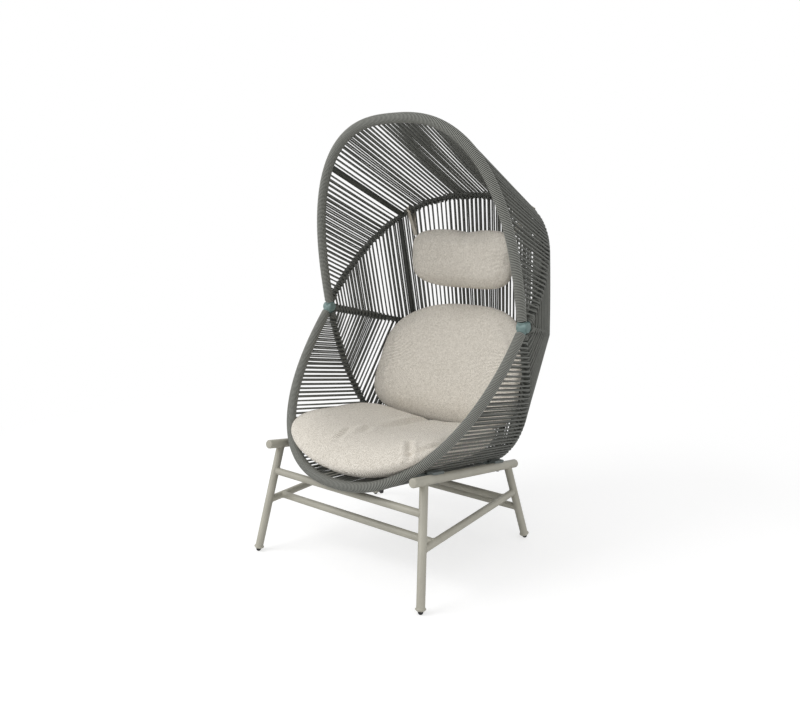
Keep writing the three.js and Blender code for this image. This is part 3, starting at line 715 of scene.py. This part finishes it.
def knuckle(side, outward, end):
    """The hub on the pivot axis, a socket for each front tube and a spigot for each thin hoop."""
    mesh = Mesh()
    centre = np.array([outward * POD_HALF_WIDTH, PIVOT_Y, PIVOT_Z])
    outer, inner = outward * HUB_HALF_LENGTH * X_AXIS, outward * HUB_INNER_LENGTH * X_AXIS
    bar(mesh, centre - inner, centre + outer, HUB_RADIUS, sides=40, edge=HUB_ROUNDING)
    for hoop, start in ((ARCH, ARCH_WRAP_START), (FRONT_HOOP, FRONT_WRAP_START)):
        mouth = hoop.at(abs(end - (start - SOCKET_SHORTNESS) / hoop.total))
        bar(mesh, hoop.at(end), mouth, SOCKET_RADIUS, edge=SOCKET_SHORTNESS)
    for hoop in (MID_ARCH, WAIST, SEAT_HOOP):
        tip = hoop.at(abs(end - THIN_HOOP_START / hoop.total))
        root = np.array([tip[0], centre[1], centre[2]])
        bar(mesh, root, tip, SPIGOT_RADIUS, sides=28, edge=SPIGOT_ROUNDING)
    piece = mesh.build(f"{side}_knuckle_casting", CASTING, "frame", "casting")
    grow_together(piece, KNUCKLE_VOXEL, smoothing=3)
    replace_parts(piece, f"{side}_knuckle")


knuckle("left", -1, 0)
knuckle("right", 1, 1)


# Base: lines of the tubes, from the places of the ribs and brackets

def at_height(line, height):
    return line[0] + (line[1] - line[0]) * (height - line[0][2]) / (line[1][2] - line[0][2])


def at_depth(line, y):
    return line[0] + (line[1] - line[0]) * (y - line[0][1]) / (line[1][1] - line[0][1])


def point(x, y, z):
    return np.array([x, y, z], float)


SIDES = {"left": -1, "right": 1}
ROWS = ("front", "rear")
RAIL_GAUGE = 0.284
RAIL_FRONT = (-0.4007, 0.3703)
RAIL_REAR = (0.1932, 0.2591)
FOOT_GAUGE = 0.328
FOOT_HEIGHT = 0.007
LEG_FOOT_Y = {"front": -0.4202, "rear": 0.1978}
LEG_TOP_Y = {"front": -0.3447, "rear": 0.1392}
RAIL_ROUNDING = 0.0042
STRETCHER_HEIGHT = 0.172
LOWER_FRONT_BAR_Y = -0.3237
LOWER_REAR_BAR_Y = 0.0903
FRONT_BAR_HEIGHT = 0.2696
REAR_BAR_HEIGHT = 0.114
BRACKET_Y = {"front": -0.2797, "rear": 0.0752}

rails = {}
legs = {}
stretchers = {}
for name, side in SIDES.items():
    rails[name] = [point(side * RAIL_GAUGE, *RAIL_FRONT), point(side * RAIL_GAUGE, *RAIL_REAR)]
    for row in ROWS:
        foot = point(side * FOOT_GAUGE, LEG_FOOT_Y[row], FOOT_HEIGHT)
        legs[f"{row}_{name}"] = [foot, at_depth(rails[name], LEG_TOP_Y[row])]
    stretchers[name] = [at_height(legs[f"{row}_{name}"], STRETCHER_HEIGHT) for row in ROWS]


def bar_across(line, finder, where):
    left = finder(line, where)
    return [left, left * np.array([-1.0, 1.0, 1.0])]


bars = {
    "front_crossbar": bar_across(legs["front_left"], at_height, FRONT_BAR_HEIGHT),
    "rear_crossbar": bar_across(legs["rear_left"], at_height, REAR_BAR_HEIGHT),
    "lower_front_bar": bar_across(stretchers["left"], at_depth, LOWER_FRONT_BAR_Y),
    "lower_rear_bar": bar_across(stretchers["left"], at_depth, LOWER_REAR_BAR_Y),
}


def weld(mesh, line, radius, neighbour, neighbour_radius, from_end):
    """A bead where a tube's end meets its neighbour's round wall."""
    end, other = (line[1], line[0]) if from_end else (line[0], line[1])
    ahead = unit(end - other)
    axis = unit(neighbour[1] - neighbour[0])
    first = unit(np.cross(ahead, axis))
    second = np.cross(ahead, first)
    angle = 2 * np.pi * np.arange(WELD_STEPS) / WELD_STEPS
    rim = end + radius * (np.cos(angle)[:, None] * first + np.sin(angle)[:, None] * second)
    offset = rim - neighbour[0]
    flat_ahead = ahead - axis * (ahead @ axis)
    flat = offset - (offset @ axis)[:, None] * axis
    a = flat_ahead @ flat_ahead
    b = 2 * flat @ flat_ahead
    c = (flat * flat).sum(axis=1) - neighbour_radius ** 2
    back = (-b - np.sqrt(np.maximum(b * b - 4 * a * c, 0))) / (2 * a)
    bead = rim + back[:, None] * ahead
    tube(mesh, bead, unit(rim - end), WELD_RADIUS, sides=8, closed=True)


def base_tube(name, line, radius, neighbours):
    mesh = Mesh()
    bar(mesh, line[0], line[1], radius)
    for (neighbour, neighbour_radius), from_end in zip(neighbours, (False, True)):
        weld(mesh, line, radius, neighbour, neighbour_radius, from_end)
    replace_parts(mesh.build(name + "_tube", POWDER_COAT, "frame", "powder_coat"), name)


for name in SIDES:
    mesh = Mesh()
    bar(mesh, rails[name][0], rails[name][1], RAIL_RADIUS, sides=40, edge=RAIL_ROUNDING)
    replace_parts(mesh.build(name + "_rail_tube", POWDER_COAT, "frame", "powder_coat"), name + "_rail")
    ends = [(legs[f"front_{name}"], LEG_RADIUS), (legs[f"rear_{name}"], LEG_RADIUS)]
    base_tube(name + "_stretcher", stretchers[name], BAR_RADIUS, ends)

base_tube("front_crossbar", bars["front_crossbar"], BAR_RADIUS,
          [(legs["front_left"], LEG_RADIUS), (legs["front_right"], LEG_RADIUS)])
base_tube("rear_crossbar", bars["rear_crossbar"], BAR_RADIUS,
          [(legs["rear_left"], LEG_RADIUS), (legs["rear_right"], LEG_RADIUS)])
for name in ("lower_front_bar", "lower_rear_bar"):
    base_tube(name, bars[name], BAR_RADIUS,
              [(stretchers["left"], BAR_RADIUS), (stretchers["right"], BAR_RADIUS)])


# Legs with flared collars, and the black levelling feet in them

FOOT_RADIUS = 0.008
FOOT_RIM = 0.002
FOOT_FLAT = 0.001
FOOT_EDGE = 0.0006
MOUTH_GAP = 0.0003
SCREW_RADIUS = 0.005
SCREW_LENGTH = 0.024
THREAD_PITCH = 0.00125
THREAD_DEPTH = 0.0006
THREAD_FLAT = 0.0002
BORE_RADIUS = 0.0054
BORE_DEPTH = 0.030
BORE_EDGE = 0.0006
LEG_CUT = 0.004
LEG_TIP = 0.002
COLLAR_RADIUS = 0.016
# The collar's outline from the bore's rim up to the leg's wall: radius and height above the mouth
COLLAR_OUTLINE = [
    (0.0060, 0), (0.0098, 0), (0.0108, 0.0005), (0.0154, 0.0044), (COLLAR_RADIUS, 0.0056),
    (0.0157, 0.0067), (0.0134, 0.0098), (LEG_RADIUS, 0.0113),
]


def leg(name):
    foot, top = legs[name]
    ahead = unit(top - foot)
    mouth = foot + (FOOT_RIM + MOUTH_GAP) * ahead
    length = float(np.linalg.norm(top - mouth))
    bore = [(0, BORE_DEPTH), (BORE_RADIUS, BORE_DEPTH), (BORE_RADIUS, BORE_EDGE)]
    profile = bore + COLLAR_OUTLINE + [(LEG_RADIUS, length - LEG_CUT), (0, length - LEG_TIP)]
    mesh = Mesh()
    lathe(mesh, profile, mouth, ahead, sides=40)
    rail = rails[name.split("_")[1]]
    weld(mesh, legs[name], LEG_RADIUS, rail, RAIL_RADIUS, True)
    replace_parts(mesh.build(name + "_leg_tube", POWDER_COAT, "frame", "powder_coat"), name + "_leg")


def levelling_foot(name):
    foot, top = legs[name]
    ahead = unit(top - foot)
    mesh = Mesh()
    dome = [(0, -FOOT_RADIUS)]
    for i in range(1, 9):
        angle = math.pi / 2 * i / 8
        dome.append((FOOT_RADIUS * math.sin(angle), -FOOT_RADIUS * math.cos(angle)))
    dome += [(FOOT_RADIUS, FOOT_RIM - FOOT_EDGE), (FOOT_RADIUS - FOOT_EDGE, FOOT_RIM)]
    dome += [(SCREW_RADIUS, FOOT_RIM)]
    for i in range(int(SCREW_LENGTH / THREAD_PITCH)):
        dome += [(SCREW_RADIUS, FOOT_RIM + i * THREAD_PITCH + THREAD_FLAT),
                 (SCREW_RADIUS - THREAD_DEPTH, FOOT_RIM + (i + 0.5) * THREAD_PITCH)]
    dome += [(0, FOOT_RIM + SCREW_LENGTH)]
    lathe(mesh, dome, foot, ahead, sides=32)
    floor_level = FOOT_HEIGHT - FOOT_RADIUS + FOOT_FLAT
    for points in mesh.points:
        points[:, 2] = np.maximum(points[:, 2], floor_level)
    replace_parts(mesh.build(name + "_glide", BLACK_PLASTIC, name + "_foot", "black_plastic"), name + "_foot")


for name in legs:
    leg(name)
    levelling_foot(name)


# Brackets from the rails to the pod's seat ribs, with their bolts

BRACKET_LENGTH = 0.059
SADDLE_WIDTH = 0.0236
SADDLE_HEIGHT = 0.0128
SADDLE_LIFT = 0.0145
SADDLE_INSET = 0.0065
ARM_THICKNESS = 0.0118
BOSS_RADIUS = 0.0135
BOSS_ROUNDING = 0.001
BRACKET_VOXEL = 0.0016
BOLT_GAP = 0.0003
BOLT_RADIUS = 0.003
BOLT_CENTRE = 0.0002
BOLT_LENGTH = 0.0332
# The bolt's low head: radius and height
BOLT_HEAD = [(0, -0.0016), (0.0048, -0.0016), (0.0058, -0.0009), (0.006, 0)]


def bracket(row, name):
    rail = rails[name]
    y = BRACKET_Y[row]
    foot = at_depth(rail, y)
    ahead = unit(rail[1] - rail[0])
    up = np.cross(X_AXIS, ahead)
    from_hoop, to_hoop, share = BAYS["seat"]
    share = share if name == "left" else 1 - share
    rib_line = [from_hoop.at(share), to_hoop.at(share)]
    head = at_depth(rib_line, y)
    mesh = Mesh()
    saddle = foot + up * SADDLE_LIFT - X_AXIS * SIDES[name] * SADDLE_INSET
    block(mesh, saddle, [X_AXIS, ahead, up], (SADDLE_WIDTH, BRACKET_LENGTH, SADDLE_HEIGHT))
    reach = head - foot
    reach = reach - ahead * (reach @ ahead)
    arm = unit(reach)
    arm_size = (np.linalg.norm(reach), BRACKET_LENGTH, ARM_THICKNESS)
    block(mesh, foot + reach / 2, [arm, ahead, np.cross(arm, ahead)], arm_size)
    half = unit(rib_line[1] - rib_line[0]) * BRACKET_LENGTH / 2
    bar(mesh, head - half, head + half, BOSS_RADIUS, edge=BOSS_ROUNDING)
    label = f"{row}_{name}"
    piece = mesh.build(label + "_bracket_casting", SHADED_CASTING_COAT, "frame", "casting")
    grow_together(piece, BRACKET_VOXEL, smoothing=4)
    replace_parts(piece, label + "_bracket")
    bolt = Mesh()
    under = foot - up * (RAIL_RADIUS + BOLT_GAP)
    shank = [(0, -BOLT_CENTRE), (BOLT_RADIUS, 0), (BOLT_RADIUS, BOLT_LENGTH), (0, BOLT_LENGTH)]
    lathe(bolt, BOLT_HEAD, under, up, sides=24)
    lathe(bolt, shank, under, up, sides=20)
    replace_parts(bolt.build(label + "_hex_bolt", ZINC, "frame", "zinc", smooth=False), label + "_bracket_bolt")


for name in SIDES:
    for row in ROWS:
        bracket(row, name)


# Stud under the front hoop

STUD_OFFSET = 0.156
# The stud's outline from its root: radius and height
STUD_OUTLINE = [
    (0, 0), (0.008, 0), (0.008, 0.0045), (0.0072, 0.0058), (0.0048, 0.0112), (0.004, 0.0119), (0, 0.0122),
]


def hoop_stud():
    share = 0.5 + STUD_OFFSET / FRONT_HOOP.total
    heading = FRONT_HOOP.heading(share)
    down = unit(heading * heading[2] - Z_AXIS)
    root = FRONT_HOOP.at(share) + down * FRONT_CORE_RADIUS
    mesh = Mesh()
    lathe(mesh, STUD_OUTLINE, root, down, sides=28)
    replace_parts(mesh.build("hoop_stud_cap", BLACK_PLASTIC, "frame", "black_plastic"), "hoop_stud")


hoop_stud()


# Cushions: a crowned closed form, blown up as cloth

def superellipse(half_width, back_reach, front_reach, back_power, front_power):
    def outline(angle):
        back = np.sin(angle) > 0
        power = np.where(back, back_power, front_power)
        reach = np.where(back, back_reach, front_reach)
        across = half_width * np.sign(np.cos(angle)) * np.abs(np.cos(angle)) ** (2 / power)
        along = reach * np.sign(np.sin(angle)) * np.abs(np.sin(angle)) ** (2 / power)
        return across, along
    return outline


PAD_SHRINK = 0.02
PAD_CROWN_POWER = 3
PAD_PRESSURE = 4.0
CLOTH_STEPS = 20
REMESH_SMOOTHING = 8
PAD_AROUND, PAD_RINGS = 120, 22
FOLD_SHOULDER = 0.5
WEAVE_TURN = 0.15


def cushion_form(name, outline, middle, facing, thickness, body):
    """The pad's two faces over a shared rim, a little small, which leaves room for the swelling."""
    around = PAD_AROUND
    rings = np.sin(np.linspace(0, np.pi / 2, PAD_RINGS))[1:]
    angle = 2 * np.pi * np.arange(around) / around
    u, v = outline(angle)
    mesh = Mesh()
    points = []
    half = thickness / 2 * (1 - PAD_SHRINK)
    narrowing = 1 - PAD_SHRINK / 2
    for side in (1, -1):
        points.append(middle(np.zeros(1), np.zeros(1)) + side * facing * half)
        for reach in rings:
            swell = np.sqrt(np.maximum(0.0, 1 - reach ** PAD_CROWN_POWER))
            points.append(middle(u * reach * narrowing, v * reach * narrowing) + side * facing * half * swell)
    faces = []
    per_side = 1 + around * len(rings)
    for side in (0, 1):
        base = side * per_side
        ring_at = [base + 1 + around * r for r in range(len(rings))]
        if side:
            ring_at[-1] = 1 + around * (len(rings) - 1)
        for k in range(around):
            n = (k + 1) % around
            triangle = (base, ring_at[0] + k, ring_at[0] + n)
            faces.append(triangle if not side else triangle[::-1])
            for low, high in zip(ring_at, ring_at[1:]):
                quad = (low + k, high + k, high + n, low + n)
                faces.append(quad if not side else quad[::-1])
    mesh.add(np.concatenate(points)[:2 * per_side - around], faces)
    return mesh.build(name, UPHOLSTERY, body, "upholstery")


def read_points(obj):
    flat = np.empty(len(obj.data.vertices) * 3, np.float32)
    obj.data.vertices.foreach_get("co", flat)
    return flat.reshape(-1, 3).astype(float)


def write_points(obj, points):
    obj.data.vertices.foreach_set("co", points.astype(np.float32).ravel())
    obj.data.update()


def blow_up(obj, voxel, cap):
    """Remeshes a pad and lets it swell as cloth; no point moves further than cap."""
    grow_together(obj, voxel, REMESH_SMOOTHING)
    before = read_points(obj)
    cloth = obj.modifiers.new("cloth", "CLOTH")
    cloth.settings.quality = 5
    cloth.settings.mass = 0.3
    cloth.settings.tension_stiffness = 25
    cloth.settings.compression_stiffness = 8
    cloth.settings.shear_stiffness = 8
    cloth.settings.bending_stiffness = 0.6
    cloth.settings.use_pressure = True
    cloth.settings.uniform_pressure_force = PAD_PRESSURE
    cloth.settings.effector_weights.gravity = 0
    scene = bpy.context.scene
    cloth.point_cache.frame_start = 1
    cloth.point_cache.frame_end = CLOTH_STEPS
    for step in range(1, CLOTH_STEPS + 1):
        scene.frame_set(step)
    apply_modifiers(obj)
    scene.frame_set(1)
    after = read_points(obj)
    move = after - before
    size = np.linalg.norm(move, axis=1, keepdims=True)
    write_points(obj, before + move * np.minimum(1.0, cap / np.maximum(size, 1e-9)))


def lay_weave(obj, across, along):
    """Writes where each point lies on the cloth, for the weave, which runs on over the pad's edges."""
    points = read_points(obj)
    u, v = points @ across, points @ along
    depth = points @ np.cross(across, along)
    depth = depth - depth.mean()
    across_edge, along_edge = np.tanh(u / WEAVE_TURN), np.tanh((v - v.mean()) / WEAVE_TURN)
    flat = np.stack([u - depth * across_edge, v - depth * along_edge, np.zeros(len(points))], axis=1)
    attribute = obj.data.attributes.new("weave", "FLOAT_VECTOR", "POINT")
    attribute.data.foreach_set("vector", flat.astype(np.float32).ravel())


def press_folds(obj, folds, facing):
    """Sinks creases into the side that looks along facing; each has a start, an end, a width and a depth."""
    points = read_points(obj)
    flat = np.empty(len(points) * 3, np.float32)
    obj.data.vertices.foreach_get("normal", flat)
    normals = flat.reshape(-1, 3).astype(float)
    seen = np.clip(normals @ facing * 2, 0, 1)
    spread = points - (points @ facing)[:, None] * facing
    for start, end, width, depth in folds:
        along = end - start
        way = np.clip(((spread - start) @ along) / (along @ along), 0, 1)
        gap = np.linalg.norm(spread - start - way[:, None] * along, axis=1) / width
        sink = depth * (np.exp(-gap ** 2) - FOLD_SHOULDER * np.exp(-(gap - 2) ** 2))
        points -= normals * (sink * np.sqrt(np.sin(np.pi * way)) * seen)[:, None]
    write_points(obj, points)


def smooth_shade(obj):
    subdivision = obj.modifiers.new("subdivision", "SUBSURF")
    subdivision.levels = 1
    subdivision.render_levels = 1
    apply_modifiers(obj)
    obj.data.polygons.foreach_set("use_smooth", [True] * len(obj.data.polygons))


def cushion(body, name, outline, middle, facing, along, thickness, voxel, cap, folds=()):
    """Makes a pad and lets its cloth swell by up to cap; along is the way that its weave runs."""
    pad = cushion_form(name, outline, middle, facing, thickness, body)
    blow_up(pad, voxel, cap)
    smooth_shade(pad)
    press_folds(pad, folds, facing)
    lay_weave(pad, X_AXIS, along)
    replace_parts(pad, body)


# Seat cushion, in the bucket

SEAT_HALF_WIDTH = 0.315
SEAT_FRONT_Y = -0.413
SEAT_REAR_Y = 0.150
SEAT_WIDEST_Y = -0.120
SEAT_THICKNESS = 0.115
SEAT_CLEARANCE = 0.0187
SEAT_DISH = 0.074
SEAT_DISH_POWER = 1.7
SEAT_FRONT_DROP = 0.024
SEAT_REAR_RISE = 0.043
SEAT_REAR_REACH = SEAT_REAR_Y - SEAT_WIDEST_Y
SEAT_FRONT_REACH = SEAT_WIDEST_Y - SEAT_FRONT_Y
# Creases in its top: start and end on the floor plan, width, depth
SEAT_FOLDS = [
    ((-0.050, -0.345), (-0.078, -0.235), 0.010, 0.0045),
    ((-0.030, -0.245), (-0.058, -0.155), 0.012, 0.0045),
    ((0.172, -0.262), (0.238, -0.352), 0.009, 0.0080),
    ((0.200, -0.350), (0.268, -0.285), 0.007, 0.0060),
    ((0.236, -0.310), (0.281, -0.240), 0.007, 0.0050),
    ((-0.036, -0.120), (-0.008, 0.130), 0.018, 0.0080),
]

floor_front = FRONT_HOOP.at(0.5)
floor_rear = SEAT_HOOP.at(0.5)


def seat_middle(u, v):
    y = SEAT_WIDEST_Y + v
    _, run, rise = floor_rear - floor_front
    level = floor_front[2] + rise * (y - floor_front[1]) / run
    sides_up = SEAT_DISH * np.abs(u / SEAT_HALF_WIDTH) ** SEAT_DISH_POWER
    rear_up = SEAT_REAR_RISE * np.maximum(0, v / SEAT_REAR_REACH) ** 2
    front_down = SEAT_FRONT_DROP * np.maximum(0, -v / SEAT_FRONT_REACH) ** 3
    z = level + SEAT_CLEARANCE + SEAT_THICKNESS / 2 + sides_up + rear_up - front_down
    return np.stack([u, y, z], axis=-1)


seat_outline = superellipse(SEAT_HALF_WIDTH, SEAT_REAR_REACH, SEAT_FRONT_REACH, 3.5, 2.8)
seat_folds = [(point(*start, 0), point(*end, 0), width, depth) for start, end, width, depth in SEAT_FOLDS]
cushion("seat_cushion", "seat_pad", seat_outline, seat_middle, Z_AXIS, Y_AXIS, SEAT_THICKNESS,
        voxel=0.007, cap=0.005, folds=seat_folds)


# Back cushion, leaning on the lower back

BACK_HALF_WIDTH = 0.299
BACK_HALF_HEIGHT = 0.226
BACK_THICKNESS = 0.126
BACK_CENTRE = (0.2808, 0.560)
BACK_TILT = math.radians(23.78)
BACK_WRAP = 0.083
BACK_TAPER = 0.016
BACK_LOWER = 0.011
back_up = np.array([0.0, math.sin(BACK_TILT), math.cos(BACK_TILT)])
back_front = np.array([0.0, -math.cos(BACK_TILT), math.sin(BACK_TILT)])


def back_middle(u, v):
    across = u - BACK_TAPER * (u / BACK_HALF_WIDTH) * v / BACK_HALF_HEIGHT
    place = point(0, *BACK_CENTRE) + across[:, None] * X_AXIS
    wrap = BACK_WRAP * (u / BACK_HALF_WIDTH) ** 2
    return place + v[:, None] * back_up + wrap[:, None] * back_front


back_outline = superellipse(BACK_HALF_WIDTH, BACK_HALF_HEIGHT, BACK_HALF_HEIGHT + BACK_LOWER, 2.4, 4.6)
cushion("back_cushion", "back_pad", back_outline, back_middle, back_front, back_up, BACK_THICKNESS,
        voxel=0.007, cap=0.005)


# Head pillow and its straps

PILLOW_HALF_WIDTH = 0.210
PILLOW_HALF_HEIGHT = 0.111
PILLOW_THICKNESS = 0.098
PILLOW_CENTRE = (0.3274, 0.9305)
PILLOW_WRAP = 0.056
PILLOW_DIP = 0.005
PILLOW_DIP_WIDTH = 0.110
PILLOW_NOTCH = 0.008
PILLOW_NOTCH_WIDTH = 0.017
STRAP_SHARE = 0.3265
STRAP_WIDTH, STRAP_THICKNESS = 0.014, 0.0016
STRAP_LOOP_RADIUS = 0.0165
STRAP_LOOP_STEPS, STRAP_RUN_STEPS = 17, 12
STRAP_FOOT_ANGLE = math.radians(30)


def pillow_middle(u, v):
    upward = np.maximum(0, v / PILLOW_HALF_HEIGHT)
    dip = PILLOW_DIP * upward * np.exp(-(u / PILLOW_DIP_WIDTH) ** 2)
    dip = dip + PILLOW_NOTCH * upward ** 3 * np.exp(-(u / PILLOW_NOTCH_WIDTH) ** 2)
    forward = PILLOW_WRAP * (u / PILLOW_HALF_WIDTH) ** 2
    return np.stack([u, PILLOW_CENTRE[0] - forward, PILLOW_CENTRE[1] + v - dip], axis=-1)


pillow_outline = superellipse(PILLOW_HALF_WIDTH, PILLOW_HALF_HEIGHT, PILLOW_HALF_HEIGHT, 4.4, 3.2)
cushion("head_pillow", "head_pad", pillow_outline, pillow_middle, -Y_AXIS, Z_AXIS, PILLOW_THICKNESS,
        voxel=0.005, cap=0.004)


def ribbon(mesh, path, facing, width, thickness):
    """A flat strap along a path; facing is the way its flat side looks."""
    ahead = unit(np.gradient(path, axis=0))
    aside = unit(np.cross(ahead, facing))
    over = np.cross(aside, ahead)
    section = [(-1, -1), (1, -1), (1, 1), (-1, 1)]
    rows = [path + a * aside * width / 2 + b * over * thickness / 2 for a, b in section]
    points = np.stack(rows, axis=1)
    faces = []
    for i in range(len(path) - 1):
        for k in range(4):
            n = (k + 1) % 4
            faces.append((4 * i + k, 4 * i + n, 4 * (i + 1) + n, 4 * (i + 1) + k))
    last = 4 * (len(path) - 1)
    faces.append((3, 2, 1, 0))
    faces.append((last, last + 1, last + 2, last + 3))
    mesh.add(points.reshape(-1, 3), faces)


def pillow_strap(name, side):
    share = STRAP_SHARE if side < 0 else 1 - STRAP_SHARE
    hook = MID_ARCH.at(share)
    across, along = pillow_outline(np.array([STRAP_FOOT_ANGLE]))
    foot = pillow_middle(side * across, along)[0]
    down = unit(foot - hook)
    front = unit(down * down[1] - Y_AXIS)
    turns = np.linspace(0, np.pi, STRAP_LOOP_STEPS)[:, None]
    radial = np.cos(turns) * front - np.sin(turns) * down
    top = hook + STRAP_LOOP_RADIUS * radial
    way = np.linspace(0, 1, STRAP_RUN_STEPS)[:, None]
    near = foot + (top[0] - foot) * way
    far = top[-1] + (foot - top[-1]) * way
    path = np.concatenate([near[:-1], top, far[1:]])
    run_front = np.repeat(front[None], STRAP_RUN_STEPS - 1, axis=0)
    mesh = Mesh()
    ribbon(mesh, path, np.concatenate([run_front, radial, -run_front]), STRAP_WIDTH, STRAP_THICKNESS)
    piece = mesh.build(f"{name}_hanging_strap", WEBBING, None, "webbing")
    lay_weave(piece, X_AXIS, Z_AXIS)
    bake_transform(piece)
    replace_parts(piece, f"{name}_pillow_strap")


for name, side in SIDES.items():
    pillow_strap(name, side)
